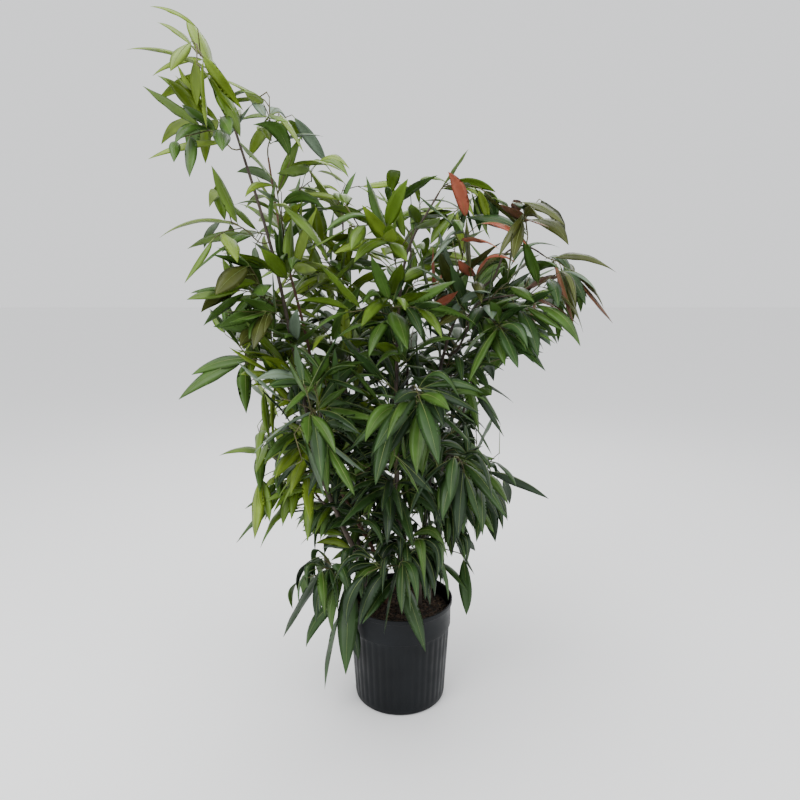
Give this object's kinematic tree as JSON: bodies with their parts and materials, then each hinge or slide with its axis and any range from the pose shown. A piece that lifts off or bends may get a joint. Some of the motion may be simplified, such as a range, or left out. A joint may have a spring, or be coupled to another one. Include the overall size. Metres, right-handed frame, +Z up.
{
  "type": "potted amstel king ficus",
  "caption": "Bushy potted ficus with several leaning stems and long narrow drooping leaves, in a ribbed dark nursery pot.",
  "frame": {"origin": "centre of the pot's flat underside, where the plant stands", "axes": "+Z up along the pot's axis; -Y faces the viewer of the picture; the tall stem leans to -X, the arching one to +X"},
  "size_m": [1.41, 1.1282, 2.19],
  "materials": {
    "pot_plastic": "satin moulded",
    "soil": "loose crumbs and bark chips",
    "bark": "thin smooth bark with pale pores",
    "leaf": "waxy leaf"
  },
  "bodies": {
    "root": {"bough_arch": "bark", "bough_arch_low": "bark", "bough_back_left": "bark", "bough_back_right": "bark", "bough_front": "bark", "bough_front_left": "bark", "bough_front_right": "bark", "bough_left_low": "bark", "bough_left_mid": "bark", "bough_right_low": "bark", "bough_right_mid": "bark", "leaves_arch_low": "leaf", "leaves_arch_tip": "leaf", "leaves_arch_top": "leaf", "leaves_arch_under": "leaf", "leaves_back_left": "leaf", "leaves_back_left_mid": "leaf", "leaves_back_left_top": "leaf", "leaves_back_low": "leaf", "leaves_back_mid": "leaf", "leaves_back_right_mid": "leaf", "leaves_back_right_top": "leaf", "leaves_back_top": "leaf", "leaves_centre_front": "leaf", "leaves_centre_low": "leaf", "leaves_centre_top": "leaf", "leaves_centre_upper": "leaf", "leaves_front": "leaf", "leaves_front_right": "leaf", "leaves_left_crown": "leaf", "leaves_left_front": "leaf", "leaves_left_inner": "leaf", "leaves_left_low": "leaf", "leaves_left_lower": "leaf", "leaves_left_mid": "leaf", "leaves_left_upper": "leaf", "leaves_pot_front": "leaf", "leaves_pot_left": "leaf", "leaves_red": "leaf", "leaves_right_low": "leaf", "leaves_right_mid": "leaf", "leaves_right_pot": "leaf", "leaves_right_upper": "leaf", "leaves_tall_back": "leaf", "leaves_tall_inner": "leaf", "leaves_tall_left": "leaf", "leaves_tall_low": "leaf", "leaves_tall_right": "leaf", "leaves_tall_tip": "leaf", "leaves_tall_upper": "leaf", "pot": "pot_plastic", "soil": "soil", "stem_back": "bark", "stem_back_left": "bark", "stem_back_right": "bark", "stem_centre": "bark", "stem_left": "bark", "stem_right": "bark", "stem_russet": "bark", "stem_tall": "bark"}
  },
  "joints": []
}
